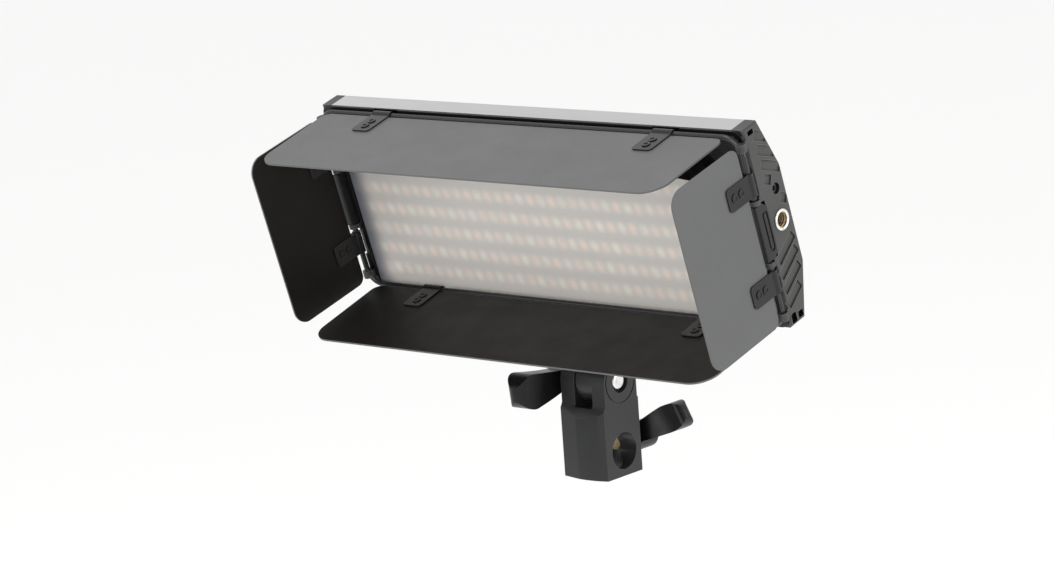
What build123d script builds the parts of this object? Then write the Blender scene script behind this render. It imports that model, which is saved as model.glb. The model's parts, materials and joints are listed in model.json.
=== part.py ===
"""LED panel light with a four-leaf barn door set, on a tilting stand bracket.

World frame: origin at the centre of the spigot bore's mouth, +X right, -Y front, +Z up.
Bench frame of the head: origin in the middle of the four door rods, the panel upright.
Head pieces are drawn upright on the bench and placed with HEAD, which tilts them.
"""

from build123d import *
import os
from math import cos, radians, sin

os.makedirs("parts", exist_ok=True)

# ---- driving dimensions, millimetres and degrees ----
BODY_WIDTH = 236.8  # over both end caps
SHELL_WIDTH = 224.5  # aluminium extrusion between the caps
BODY_HEIGHT = 90.0
FRONT_Y = 3.0  # front edge of the extrusion, behind the door rods
TOP_BACK_Y = 12.7  # back edge of the flat top
BACK_Y = 20.4  # flat back
BEND_Z = 22.0  # where the slanted back meets the flat back
WALL = 1.6

ROD_X = 117.7  # side door rods
ROD_Z = 42.9  # top and bottom door rods
ROD_R = 1.25
ROD_CORNER = 8.0
RUN = 0.05  # radial running clearance

LEAF_T = 0.8
LONG_GAP = 2.0  # rod axis to the inner edge of the top and bottom leaves
SHORT_GAP = 3.7  # rod axis to the inner edge of the side leaves
STRIP_T = 0.7
STRIP_W = 10.3
STRIP_REACH = 16.5

PIVOT_Z = 42.5  # tilt bolt above the spigot mouth
PIVOT_Y = 5.27  # tilt bolt in the bench frame
PIVOT_DROP = 82.73  # tilt bolt below the door rods' middle
TILT = 16.2  # the head leans forward by this much
STUD_Y = 7.85  # 1/4 inch stud, in the bench frame
STUD_R = 3.15
INSERT_R = 4.5
INSERT_BORE = 3.2

BLOCK_X = 12.45
BLOCK_BACK = 12.05
BLOCK_TOP = 33.2
SPIGOT_R = 8.2
SPIGOT_DEPTH = 26.0
CROSS_Z = 11.25
EAR_R = 10.8
EAR_LEFT = -4.8
EAR_RIGHT = 5.2
BOLT_R = 3.0

REAR_SCREWS = [(x, z) for x in (-66.4, 66.4) for z in (-17.4, 17.4)]
BASE_SCREWS = [(-10.5, 8.6), (10.5, 8.6)]

CAP_T = (BODY_WIDTH - SHELL_WIDTH) / 2
HALF_W = BODY_WIDTH / 2
SHELL_HALF = SHELL_WIDTH / 2
HALF_H = BODY_HEIGHT / 2
SLANT = (BACK_Y - TOP_BACK_Y) / (HALF_H - BEND_Z)

HEAD = Location((0, 0, PIVOT_Z), (TILT, 0, 0)) * Location((0, -PIVOT_Y, PIVOT_DROP))
WORLD = Location()


def hand_in(piece, name, place=HEAD):
    """Name a finished piece, set it in its place and write its STEP file."""
    piece.part.label = name
    piece.part.location = place
    export_step(piece.part, f"parts/{name}.step")


def rod(plane, radius, length, spots=((0, 0),), mode=Mode.ADD):
    """Cylinders that grow from a plane along its normal, at spots on it."""
    with BuildSketch(plane) as discs:
        with Locations(*spots):
            Circle(radius)
    extrude(discs.sketch, amount=length, mode=mode)


def block(low, high, mode=Mode.ADD):
    """A box between two corners."""
    size = [b - a for a, b in zip(low, high)]
    middle = tuple((a + b) / 2 for a, b in zip(low, high))
    with Locations(middle):
        Box(*size, mode=mode)


def side_plane(x, side=1):
    """A plane across the panel at x, drawn in (y, z), its normal away from the middle on that side."""
    if side > 0:
        return Plane(origin=(x, 0, 0), x_dir=(0, 1, 0), z_dir=(1, 0, 0))
    return Plane(origin=(x, 0, 0), x_dir=(0, -1, 0), z_dir=(-1, 0, 0))


def back_plane(y):
    """A plane facing the back at y, drawn in (-x, z)."""
    return Plane(origin=(0, y, 0), x_dir=(-1, 0, 0), z_dir=(0, 1, 0))


def rear_spots(spots):
    """Turn (x, z) into the coordinates of a plane that faces the back."""
    return [(-x, z) for x, z in spots]


def body_outline(front=FRONT_Y):
    """The panel's section: flat top, two slanted backs and a flat back."""
    with BuildLine() as outline:
        Polyline(
            (front, HALF_H),
            (TOP_BACK_Y, HALF_H),
            (BACK_Y, BEND_Z),
            (BACK_Y, -BEND_Z),
            (TOP_BACK_Y, -HALF_H),
            (front, -HALF_H),
            close=True,
        )
    make_face(outline.edges())


def frame_wire(radius):
    """A round bar bent to the closed loop of the door frame."""
    with BuildSketch(Plane.XZ) as loop:
        RectangleRounded(2 * ROD_X, 2 * ROD_Z, ROD_CORNER)
    path = loop.sketch.faces()[0].outer_wire()
    with BuildSketch(Plane(path @ 0, z_dir=path % 0)) as section:
        Circle(radius)
    sweep(section.sketch, path=path, transition=Transition.ROUND)


# The clearance tunnel for the bent bar, cut from every piece that grips it.
with BuildPart() as wire_tunnel:
    frame_wire(ROD_R + RUN)

HINGE_SPOTS_X = 79.0  # strips on the top and bottom doors
HINGE_SPOTS_Z = 22.0  # strips on the side doors
RELIEF_R = 3.0  # room around the rods for the hinge curls

with BuildPart() as curl_relief:
    for rod_z in (-ROD_Z, ROD_Z):
        rod(side_plane(-HINGE_SPOTS_X - 7), RELIEF_R, 14, [(0, rod_z)])
        rod(side_plane(HINGE_SPOTS_X - 7), RELIEF_R, 14, [(0, rod_z)])
    for rod_x in (-ROD_X, ROD_X):
        rod(Plane.XY.offset(-HINGE_SPOTS_Z - 7), RELIEF_R, 14, [(rod_x, 0)])
        rod(Plane.XY.offset(HINGE_SPOTS_Z - 7), RELIEF_R, 14, [(rod_x, 0)])


# ---- housing shell: the aluminium extrusion ----
WEB_Y = 10.4  # front of the inner web that carries the LED board
WEB_T = 1.6
FIN_Z = (29.5, 34.9, 40.3)
SCREW_SPOT = (14.0, 13.7)

with BuildPart() as housing_shell:
    with BuildSketch(Plane.YZ):
        body_outline()
        for fin_z in FIN_Z:
            fin_y = TOP_BACK_Y + (HALF_H - fin_z) * SLANT
            with Locations((fin_y + 0.3, fin_z), (fin_y + 0.3, -fin_z)):
                Rectangle(1.6, 1.3)
    extrude(amount=SHELL_HALF, both=True)
    with BuildSketch(Plane.YZ):
        with BuildLine():
            Polyline(
                (WEB_Y + WEB_T, HALF_H - WALL),
                (TOP_BACK_Y - 0.4, HALF_H - WALL),
                (BACK_Y - WALL, BEND_Z - 0.4),
                (BACK_Y - WALL, -BEND_Z + 0.4),
                (TOP_BACK_Y - 0.4, -HALF_H + WALL),
                (WEB_Y + WEB_T, -HALF_H + WALL),
                close=True,
            )
        make_face()
        with Locations(SCREW_SPOT):
            Circle(2.6, mode=Mode.SUBTRACT)
    extrude(amount=SHELL_HALF, both=True, mode=Mode.SUBTRACT)
    block((-SHELL_HALF, FRONT_Y, -HALF_H + WALL), (SHELL_HALF, WEB_Y, HALF_H - WALL), Mode.SUBTRACT)
    rod(side_plane(-SHELL_HALF), 1.45, SHELL_WIDTH, [SCREW_SPOT], Mode.SUBTRACT)
    rod(Plane.XY.offset(-HALF_H), INSERT_R + 0.02, WALL, [(0, STUD_Y)], Mode.SUBTRACT)
    with BuildSketch(back_plane(BACK_Y - WALL)):
        with Locations((-45, 0)):
            SlotOverall(24, 9)
    extrude(amount=WALL, mode=Mode.SUBTRACT)
    rod(back_plane(BACK_Y - WALL), 1.5, WALL, rear_spots(REAR_SCREWS), Mode.SUBTRACT)
    rod(Plane.XY.offset(-HALF_H), 1.4, WALL, BASE_SCREWS, Mode.SUBTRACT)
    add(curl_relief.part, mode=Mode.SUBTRACT)
hand_in(housing_shell, "housing_shell")


# ---- end caps: moulded plastic, with vents, knuckles for the bent bar and an insert ----
POCKET_X = HALF_W - 4.0  # the diffuser's ends sit in pockets in the caps
ARM_Z = (38.6, 14.7, -14.7, -38.2)
ARM_T = 3.4
SLOT_PITCH = 6.6
SLOT_W = 1.9  # width of a vent's deep slit
SLOT_DEPTH = 3.2
SCOOP_W = 4.4  # width of a vent with its bevelled scoop
SCOOP_SHARE = 0.5  # how deep the scoop is beside the slit
CLIP_HALF = 12.6
CLIP_BACK = 5.2


def vent(side, start, slope, length):
    """One louvre vent: a deep slit with a bevelled scoop above it."""
    y, z = start
    along = Vector(0, cos(radians(slope)), sin(radians(slope)))
    across = Vector(0, -sin(radians(slope)), cos(radians(slope)))
    face = Vector(side * HALF_W, y, z)
    with BuildSketch(Plane(face, x_dir=across, z_dir=along)) as cut:
        deep = SLOT_DEPTH * (1 if (along.cross(across)).X * side < 0 else -1)
        with BuildLine():
            Polyline(
                (0, 0.2 * deep),
                (0, -deep),
                (SLOT_W, -deep),
                (SLOT_W, -SCOOP_SHARE * deep),
                (SCOOP_W, 0.02 * deep),
                (SCOOP_W, 0.2 * deep),
                close=True,
            )
        make_face()
    extrude(cut.sketch, amount=length, mode=Mode.SUBTRACT)


def vent_length(start, slope, margin=1.7):
    """How far a vent runs before it meets the cap's back edge."""
    y, z = start
    run, rise = cos(radians(slope)), abs(sin(radians(slope)))
    to_slant = (TOP_BACK_Y + (HALF_H - abs(z)) * SLANT - y - margin) / (run - rise * SLANT)
    to_back = (BACK_Y - y - margin) / run
    return min(to_slant, to_back)


def end_cap(side):
    """The cap on one side of the panel: +1 right, -1 left."""
    inner = side * SHELL_HALF
    outer = side * HALF_W
    with BuildPart() as cap:
        with BuildSketch(Plane.YZ.offset(inner)):
            body_outline(FRONT_Y - 0.3)
        extrude(amount=side * CAP_T)
        outer_face = cap.faces().filter_by(Axis.X).sort_by(Axis.X)[-1 if side > 0 else 0]
        chamfer(outer_face.edges(), 0.8)
        # pocket for the end of the diffuser and the inner frame
        low_x, high_x = sorted((inner - side, side * (HALF_W - 3.6)))
        block((low_x, FRONT_Y - 0.4, -HALF_H + WALL), (high_x, 9.3, HALF_H - WALL), Mode.SUBTRACT)
        # plugs that enter the extrusion's rear duct
        low_x, high_x = sorted((inner - 3 * side, inner))
        for plug_z in (-1, 1):
            low_z, high_z = sorted((plug_z * 20, plug_z * 30))
            block((low_x, WEB_Y + WEB_T + 0.2, low_z), (high_x, 15.2, high_z))
        # louvre vents above and below the threaded insert
        for row in range(4):
            start = (7.4, 38.4 - SLOT_PITCH * row)
            length = vent_length(start, -29) if row < 3 else 4.4
            vent(side, start, -29, length)
        vent(side, (14.6, 7.0), -29, 4.0)
        for row in range(4):
            start = (4.9 if row else 5.6, -17.6 - SLOT_PITCH * row)
            vent(side, start, 28, vent_length(start, 28))
        # square windows at the front corners
        low_x, high_x = sorted((outer - 2.4 * side, outer + side))
        block((low_x, 5.0, 41.2), (high_x, 8.8, 43.4), Mode.SUBTRACT)
        block((low_x, 8.6, -43.6), (high_x, 12.0, -40.6), Mode.SUBTRACT)
        block((low_x, 4.0, -44.0), (high_x, 7.4, -39.6), Mode.SUBTRACT)
        # screw counterbore and clearance hole, seat of the threaded insert
        screw_spot = (side * SCREW_SPOT[0], SCREW_SPOT[1])
        rod(side_plane(outer - 3 * side, side), 2.5, 4, [screw_spot], Mode.SUBTRACT)
        rod(side_plane(inner - side, side), 1.6, 6, [screw_spot], Mode.SUBTRACT)
        rod(side_plane(inner - side, side), INSERT_R + 0.02, CAP_T + 2, [(side * 12.8, 0)], Mode.SUBTRACT)
        # knuckles that hold the bent bar
        for arm_z in ARM_Z:
            with BuildSketch(Plane.XY.offset(arm_z - ARM_T / 2)):
                with Locations((side * ROD_X, 0)):
                    Circle(2.3)
                with Locations((side * (ROD_X - 1.2), 2.4)):
                    Rectangle(3.8, 4.8)
            extrude(amount=ARM_T)
        # recess for the frame clip
        low_x, high_x = sorted((outer - 2.9 * side, outer + 3 * side))
        block((low_x, 0, -CLIP_HALF - 0.1), (high_x, CLIP_BACK + 0.1, CLIP_HALF + 0.1), Mode.SUBTRACT)
        add(curl_relief.part, mode=Mode.SUBTRACT)
        add(wire_tunnel.part, mode=Mode.SUBTRACT)
    return cap


hand_in(end_cap(1), "end_cap_right")
hand_in(end_cap(-1), "end_cap_left")


# ---- threaded inserts in the caps and in the base ----
def insert(plane, spot, length):
    """A knurled brass bush with a flange-free mouth."""
    with BuildPart() as bush:
        rod(plane, INSERT_R, length, [spot])
        rod(plane, INSERT_BORE, length, [spot], Mode.SUBTRACT)
    return bush


hand_in(insert(side_plane(SHELL_HALF + 0.05), (12.8, 0), CAP_T + 0.15), "side_insert_right")
hand_in(insert(side_plane(-SHELL_HALF - 0.05, -1), (-12.8, 0), CAP_T + 0.15), "side_insert_left")

with BuildPart() as cap_screws:
    for side in (-1, 1):
        spot = (side * SCREW_SPOT[0], SCREW_SPOT[1])
        seat = side * (HALF_W - 3)
        rod(side_plane(seat, side), 2.4, 1.6, [spot])
        rod(side_plane(seat - side * 12, side), 1.4, 12, [spot])
        with BuildSketch(side_plane(seat + side * 0.8, side)):
            with Locations(spot):
                RegularPolygon(1.3, 6)
        extrude(amount=1, mode=Mode.SUBTRACT)
hand_in(cap_screws, "cap_screws")


# ---- front: bezel, diffuser, inner frame, LED board ----
with BuildPart() as front_bezel:
    with BuildSketch(Plane.XZ.offset(-1.9)):
        RectangleRounded(BODY_WIDTH - 1.2, BODY_HEIGHT - 0.4, 4)
        RectangleRounded(227.4, 86.2, 1.0, mode=Mode.SUBTRACT)
    extrude(amount=-0.75)
    for way in (-1, 1):
        low_x, high_x = sorted((way * 114.5, way * 120))
        for arm_z in ARM_Z:
            block((low_x, 1, arm_z - ARM_T / 2 - 0.1), (high_x, 3, arm_z + ARM_T / 2 + 0.1), Mode.SUBTRACT)
        block((low_x, 1, -CLIP_HALF - 0.1), (high_x, 3, CLIP_HALF + 0.1), Mode.SUBTRACT)
    add(curl_relief.part, mode=Mode.SUBTRACT)
    add(wire_tunnel.part, mode=Mode.SUBTRACT)
hand_in(front_bezel, "front_bezel")

with BuildPart() as diffuser:
    block((-POCKET_X - 0.2, 3.05, -HALF_H + WALL + 0.1), (POCKET_X + 0.2, 4.85, HALF_H - WALL - 0.1))
hand_in(diffuser, "diffuser")

with BuildPart() as inner_frame:
    block((-111.6, 4.9, -43.1), (111.6, 9.1, 43.1))
    block((-110.4, 4.9, -41.9), (110.4, 9.1, 41.9), Mode.SUBTRACT)
hand_in(inner_frame, "inner_frame")

BOARD_Y = 9.15
LED_PITCH_X = 6.06
LED_PITCH_Z = 10.0
LED_COLUMNS = 36
LED_ROWS = 8
BOARD_SCREWS = [(x, 0) for x in (-103.02, -60.6, -18.18, 18.18, 60.6, 103.02)]

with BuildPart() as led_board:
    block((-111.4, BOARD_Y, -42.6), (111.4, WEB_Y - 0.05, 42.6))
    rod(Plane.XZ.offset(-WEB_Y - 1), 1.3, 4, BOARD_SCREWS, Mode.SUBTRACT)
hand_in(led_board, "led_board")


def led_group(phase):
    """Every second LED package of the grid, in a checkerboard."""
    with BuildPart() as leds:
        for row in range(LED_ROWS):
            for column in range(LED_COLUMNS):
                if (row + column) % 2 == phase:
                    x = (column - (LED_COLUMNS - 1) / 2) * LED_PITCH_X
                    z = (row - (LED_ROWS - 1) / 2) * LED_PITCH_Z
                    block((x - 1.4, BOARD_Y - 0.8, z - 1.75), (x + 1.4, BOARD_Y - 0.01, z + 1.75))
    return leds


hand_in(led_group(0), "warm_leds")
hand_in(led_group(1), "cool_leds")

with BuildPart() as board_screws:
    rod(Plane.XZ.offset(-BOARD_Y + 0.02), 2.2, 1.0, BOARD_SCREWS)
    rod(Plane.XZ.offset(-WEB_Y), 1.2, 1.5, BOARD_SCREWS)
hand_in(board_screws, "board_screws")


# ---- door frame: the bent bar and its two clips ----
with BuildPart() as door_frame:
    frame_wire(ROD_R)
hand_in(door_frame, "door_frame")


def frame_clip(side):
    """The snap-on pad that locks the bent bar to a cap."""
    outer = side * HALF_W
    with BuildPart() as clip:
        low_x, high_x = sorted((outer - 2.8 * side, outer + 0.9 * side))
        block((low_x, -2.5, -CLIP_HALF), (high_x, CLIP_BACK, CLIP_HALF))
        chamfer(clip.edges().filter_by(Axis.X).group_by(Axis.Y)[-1], 2.6)
        outer_face = clip.faces().filter_by(Axis.X).sort_by(Axis.X)[-1 if side > 0 else 0]
        fillet(outer_face.edges(), 0.6)
        with BuildSketch(side_plane(outer + 0.9 * side, side)):
            with Locations((side * 2.4, 0)):
                SlotOverall(18, 3.4, rotation=90)
        extrude(amount=-0.5, mode=Mode.SUBTRACT)
        with BuildSketch(side_plane(outer + 0.4 * side, side)):
            with Locations((side * 2.4, 0)):
                SlotOverall(16.2, 1.8, rotation=90)
        extrude(amount=0.5)
        add(wire_tunnel.part, mode=Mode.SUBTRACT)
    return clip


hand_in(frame_clip(1), "frame_clip_right")
hand_in(frame_clip(-1), "frame_clip_left")


# ---- barn doors: a leaf, two folded strips around the bar, four rivets ----
RIVET_REACH = (7.6, 12.1)
RIVET_R = 1.0


def leaf(width, reach, gap, outer_r, inner_r, strip_at):
    """A flat sheet leaf: the rod axis is X, the leaf reaches along -Y."""
    with BuildPart() as sheet:
        with BuildSketch(Plane.XY.offset(-LEAF_T / 2)) as flat:
            with Locations((0, -(gap + reach) / 2)):
                Rectangle(width, reach - gap)
            fillet(flat.vertices().group_by(Axis.Y)[0], outer_r)
            fillet(flat.vertices().group_by(Axis.Y)[-1], inner_r)
        extrude(amount=LEAF_T)
        rod(Plane.XY.offset(-1), RIVET_R + 0.02, 2, rivet_spots(strip_at), Mode.SUBTRACT)
    return sheet


def rivet_spots(strip_at):
    """The rivets of both strips of a door."""
    return [(x, -reach) for x in (-strip_at, strip_at) for reach in RIVET_REACH]


def strips(strip_at):
    """Two sheet strips folded round the rod, with a leg on each side of the leaf."""
    leg = LEAF_T / 2
    with BuildPart() as folded:
        for x in (-strip_at, strip_at):
            with BuildSketch(side_plane(x - STRIP_W / 2)):
                Circle(ROD_R + RUN + STRIP_T)
                with Locations((-STRIP_REACH / 2, 0)):
                    Rectangle(STRIP_REACH, 2 * (leg + STRIP_T))
                with Locations((-STRIP_REACH / 2 - 0.5, 0)):
                    Rectangle(STRIP_REACH + 1, 2 * leg + 0.02, mode=Mode.SUBTRACT)
                Circle(ROD_R + RUN, mode=Mode.SUBTRACT)
            extrude(amount=STRIP_W)
        fillet(folded.edges().filter_by(Axis.Z).group_by(Axis.Y)[0], 2.0)
        rod(Plane.XY.offset(-2), RIVET_R + 0.02, 4, rivet_spots(strip_at), Mode.SUBTRACT)
    return folded


def rivets(strip_at):
    """Hollow-headed rivets through both legs and the leaf."""
    face = LEAF_T / 2 + STRIP_T + 0.01
    with BuildPart() as pins:
        rod(Plane.XY.offset(-face), RIVET_R, 2 * face, rivet_spots(strip_at))
        for z in (-face - 0.45, face):
            rod(Plane.XY.offset(z), 1.95, 0.45, rivet_spots(strip_at))
        rod(Plane.XY.offset(face + 0.1), 0.95, 1, rivet_spots(strip_at), Mode.SUBTRACT)
        rod(Plane.XY.offset(-face - 1.1), 0.95, 1, rivet_spots(strip_at), Mode.SUBTRACT)
    return pins


LONG_DOOR = {
    "width": 224.0,
    "reach": 50.4,
    "gap": LONG_GAP,
    "outer_r": 10.5,
    "inner_r": 4.5,
    "strip_at": HINGE_SPOTS_X,
}
SHORT_DOOR = {
    "width": 81.2,
    "reach": 48.6,
    "gap": SHORT_GAP,
    "outer_r": 7.5,
    "inner_r": 4.0,
    "strip_at": HINGE_SPOTS_Z,
}
# each door's rod and the angle it rests at, in the bench frame
DOORS = {
    "top": (LONG_DOOR, Location((0, 0, ROD_Z), (1.0, 0, 0))),
    "bottom": (LONG_DOOR, Location((0, 0, -ROD_Z), (1.6, 0, 0))),
    "left": (SHORT_DOOR, Location((-ROD_X, 0, 0), (0, 90, 0)) * Location((0, 0, 0), (0.95, 0, 0))),
    "right": (SHORT_DOOR, Location((ROD_X, 0, 0), (0, 90, 0)) * Location((0, 0, 0), (0.7, 0, 0))),
}

for door_name, (door, door_place) in DOORS.items():
    hand_in(leaf(**door), f"door_{door_name}", HEAD * door_place)
    hand_in(strips(door["strip_at"]), f"door_{door_name}_hinges", HEAD * door_place)
    hand_in(rivets(door["strip_at"]), f"door_{door_name}_rivets", HEAD * door_place)


# ---- back: control housing, battery plate, controls ----
REAR_X = 70.0
REAR_Z = 21.0
REAR_Y = 34.4
REAR_WALL = 1.8
KNOB_X = 57.0
KNOB_Z = 9.5
SWITCH_X = 25.0
SWITCH_Z = -11.0
WINDOW_X = 25.0
WINDOW_Z = 7.0
WINDOW_SIZE = (32.0, 17.0)
JACK_Y = 28.0
JACK_Z = 0.0
PLATE_X = (-67.0, 3.0)
LATCH_X = -60.0


with BuildPart() as rear_housing:
    block((-REAR_X, BACK_Y + 0.02, -REAR_Z), (REAR_X, REAR_Y, REAR_Z))
    fillet(rear_housing.edges().filter_by(Axis.Y), 4)
    back_rim = rear_housing.faces().sort_by(Axis.Y)[-1]
    fillet(back_rim.edges(), 1.5)
    block(
        (-REAR_X + REAR_WALL, BACK_Y, -REAR_Z + REAR_WALL),
        (REAR_X - REAR_WALL, REAR_Y - REAR_WALL, REAR_Z - REAR_WALL),
        Mode.SUBTRACT,
    )
    rod(back_plane(BACK_Y + 0.02), 3.2, REAR_Y - REAR_WALL - BACK_Y, rear_spots(REAR_SCREWS))
    rod(back_plane(BACK_Y), 1.45, 9, rear_spots(REAR_SCREWS), Mode.SUBTRACT)
    with BuildSketch(back_plane(REAR_Y - 2)):
        with Locations((-WINDOW_X, WINDOW_Z)):
            RectangleRounded(WINDOW_SIZE[0] + 0.1, WINDOW_SIZE[1] + 0.1, 1.5)
        with Locations((-SWITCH_X, SWITCH_Z)):
            Rectangle(19.2, 8.2)
        with Locations(*rear_spots([(KNOB_X, KNOB_Z), (KNOB_X, -KNOB_Z)])):
            Circle(3.6)
        with Locations((-LATCH_X, 0)):
            Rectangle(9, 13)
        with Locations((-1, 0)):
            Rectangle(6, 17)
    extrude(amount=4, mode=Mode.SUBTRACT)
    rod(side_plane(REAR_X - 3), 4.1, 4, [(JACK_Y, JACK_Z)], Mode.SUBTRACT)
    for groove_x in range(-56, 60, 8):
        block((groove_x, 22.6, REAR_Z - 0.9), (groove_x + 4, 30.6, REAR_Z + 1), Mode.SUBTRACT)
        block((groove_x, 22.6, -REAR_Z - 1), (groove_x + 4, 30.6, -REAR_Z + 0.9), Mode.SUBTRACT)
hand_in(rear_housing, "rear_housing")

with BuildPart() as rear_screws:
    rod(back_plane(BACK_Y - WALL - 1.6), 2.4, 1.55, rear_spots(REAR_SCREWS))
    rod(back_plane(BACK_Y - WALL - 0.1), 1.4, 8, rear_spots(REAR_SCREWS))
hand_in(rear_screws, "rear_screws")

with BuildPart() as driver_board:
    block((6, 25.0, -18), (62.3, 26.6, 18.4))
    block((10, 23.0, -10), (20, 24.99, 0))
    block((24, 22.4, 4), (36, 24.99, 14))
    rod(Plane.XZ.offset(-24.99), 3.0, 3.6, [(46, 8), (46, -8)])
hand_in(driver_board, "driver_board")

with BuildPart() as knob_shafts:
    for knob_z in (-KNOB_Z, KNOB_Z):
        block((KNOB_X - 5.5, 26.65, knob_z - 5.5), (KNOB_X + 5.5, 31.6, knob_z + 5.5))
        rod(back_plane(31.5), 3.0, 9.5, rear_spots([(KNOB_X, knob_z)]))
hand_in(knob_shafts, "knob_shafts")

with BuildPart() as display_window:
    with BuildSketch(back_plane(REAR_Y - 1.4)):
        with Locations((-WINDOW_X, WINDOW_Z)):
            RectangleRounded(*WINDOW_SIZE, 1.5)
    extrude(amount=1.3)
hand_in(display_window, "display_window")

with BuildPart() as display_module:
    block((WINDOW_X - 18, 29.4, WINDOW_Z - 9.5), (WINDOW_X + 18, REAR_Y - REAR_WALL - 0.05, WINDOW_Z + 9.5))
    block((WINDOW_X - 16, 26.65, WINDOW_Z - 7), (WINDOW_X - 10, 29.45, WINDOW_Z + 7))
hand_in(display_module, "display_module")

TRUNNION_R = 0.9
ROCKER_Y = REAR_Y - 1.6

with BuildPart() as switch_frame:
    block((SWITCH_X - 9.5, 27.6, SWITCH_Z - 4), (SWITCH_X + 9.5, REAR_Y, SWITCH_Z + 4))
    block((SWITCH_X - 10.5, REAR_Y + 0.02, SWITCH_Z - 5), (SWITCH_X + 10.5, REAR_Y + 0.9, SWITCH_Z + 5))
    block((SWITCH_X - 9.5, REAR_Y - 0.5, SWITCH_Z - 4), (SWITCH_X + 9.5, REAR_Y + 0.5, SWITCH_Z + 4))
    block((SWITCH_X - 8.2, 28.6, SWITCH_Z - 3), (SWITCH_X + 8.2, REAR_Y + 2, SWITCH_Z + 3), Mode.SUBTRACT)
    rod(Plane.XY.offset(SWITCH_Z - 3.6), TRUNNION_R + RUN, 7.2, [(SWITCH_X, ROCKER_Y)], Mode.SUBTRACT)
hand_in(switch_frame, "switch_frame")

ROCKER_ANGLE = 8.0

with BuildPart() as power_switch:
    with BuildSketch(Plane.XY.offset(SWITCH_Z - 2.8)) as rocker:
        with BuildLine():
            Polyline(
                (-7.4, 0.4),
                (-7.4, 2.6),
                (0, 1.9),
                (7.4, 2.6),
                (7.4, 0.4),
                (1.6, -1.6),
                (-1.6, -1.6),
                close=True,
            )
        make_face()
    extrude(amount=5.6)
    rod(Plane.XY.offset(SWITCH_Z - 3.5), TRUNNION_R, 7)
hand_in(
    power_switch,
    "power_switch",
    HEAD * Location((SWITCH_X, ROCKER_Y, 0), (0, 0, ROCKER_ANGLE)),
)


def control_knob():
    """A fluted knob on its shaft: the axis is +Z, the panel is at z 0."""
    with BuildPart() as knob:
        rod(Plane.XY, 6.6, 9.2)
        fillet(knob.edges().group_by(Axis.Z)[-1], 0.8)
        with BuildSketch():
            with PolarLocations(6.9, 20):
                Circle(0.7)
        extrude(amount=8, mode=Mode.SUBTRACT)
        rod(Plane.XY.offset(-1), 3.0 + RUN, 8, mode=Mode.SUBTRACT)
        block((-0.35, 2.6, 9.0), (0.35, 5.8, 9.6), Mode.SUBTRACT)
    return knob


BACK_AXIS = Location((0, 0, 0), (-90, 0, 0))
hand_in(control_knob(), "brightness_knob", HEAD * Location((KNOB_X, REAR_Y + 0.4, KNOB_Z)) * BACK_AXIS)
hand_in(control_knob(), "colour_knob", HEAD * Location((KNOB_X, REAR_Y + 0.4, -KNOB_Z)) * BACK_AXIS)

with BuildPart() as power_jack:
    rod(side_plane(REAR_X - 7.2), 4.0, 7.4, [(JACK_Y, JACK_Z)])
    rod(side_plane(REAR_X - 6.4), 2.8, 12, [(JACK_Y, JACK_Z)], Mode.SUBTRACT)
    rod(side_plane(REAR_X - 6.6), 1.0, 5.6, [(JACK_Y, JACK_Z)])
hand_in(power_jack, "power_jack")

# battery plate: a rail each side for the pack's grooves, contacts at one end
PLATE_Y = REAR_Y + 0.02
PLATE_SCREWS = rear_spots([(-48, 12), (-48, -12), (-14, 12), (-14, -12)])
RAIL_Z = 19.2
with BuildPart() as battery_plate:
    block((PLATE_X[0], PLATE_Y, -RAIL_Z), (PLATE_X[1], PLATE_Y + 2, RAIL_Z))
    for edge in (-1, 1):
        low_z, high_z = sorted((edge * 17.2, edge * RAIL_Z))
        block((PLATE_X[0], PLATE_Y + 1.9, low_z), (PLATE_X[1], PLATE_Y + 5.0, high_z))
        low_z, high_z = sorted((edge * 15.8, edge * RAIL_Z))
        for hook_x in (-64.0, -30.0):
            block((hook_x, PLATE_Y + 3.8, low_z), (hook_x + 12, PLATE_Y + 5.0, high_z))
    block((PLATE_X[1] - 8, PLATE_Y + 1.9, -9), (PLATE_X[1], PLATE_Y + 5.0, 9))
    block((LATCH_X - 4.1, PLATE_Y - 1, -6.1), (LATCH_X + 4.1, PLATE_Y + 3, 6.1), Mode.SUBTRACT)
    for contact_z in (-5.5, 0, 5.5):
        block((-6, PLATE_Y - 1, contact_z - 1), (2, PLATE_Y + 3.6, contact_z + 1), Mode.SUBTRACT)
    rod(back_plane(PLATE_Y), 1.6, 3, PLATE_SCREWS, Mode.SUBTRACT)
hand_in(battery_plate, "battery_plate")

with BuildPart() as plate_screws:
    rod(back_plane(PLATE_Y + 1.0), 1.55, 0.9, PLATE_SCREWS)
    rod(back_plane(PLATE_Y + 0.05), 1.2, 1.0, PLATE_SCREWS)
hand_in(plate_screws, "plate_screws")

with BuildPart() as battery_contacts:
    for contact_z in (-5.5, 0, 5.5):
        block((-10.5, PLATE_Y + 2.3, contact_z - 0.4), (1.6, PLATE_Y + 3.4, contact_z + 0.4))
        block((0.4, PLATE_Y - 5, contact_z - 0.4), (1.6, PLATE_Y + 3.4, contact_z + 0.4))
hand_in(battery_contacts, "battery_contacts")

with BuildPart() as battery_latch:
    block((LATCH_X - 3.9, PLATE_Y - 4, -5.9), (LATCH_X + 3.9, PLATE_Y + 3.4, 5.9))
    chamfer(battery_latch.edges().filter_by(Axis.Z).group_by(Axis.Y)[-1].sort_by(Axis.X)[-1], 2.0)
    block((LATCH_X - 5.2, PLATE_Y - 4, -7.2), (LATCH_X + 5.2, REAR_Y - REAR_WALL - 0.2, 7.2))
hand_in(battery_latch, "battery_latch")

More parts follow.
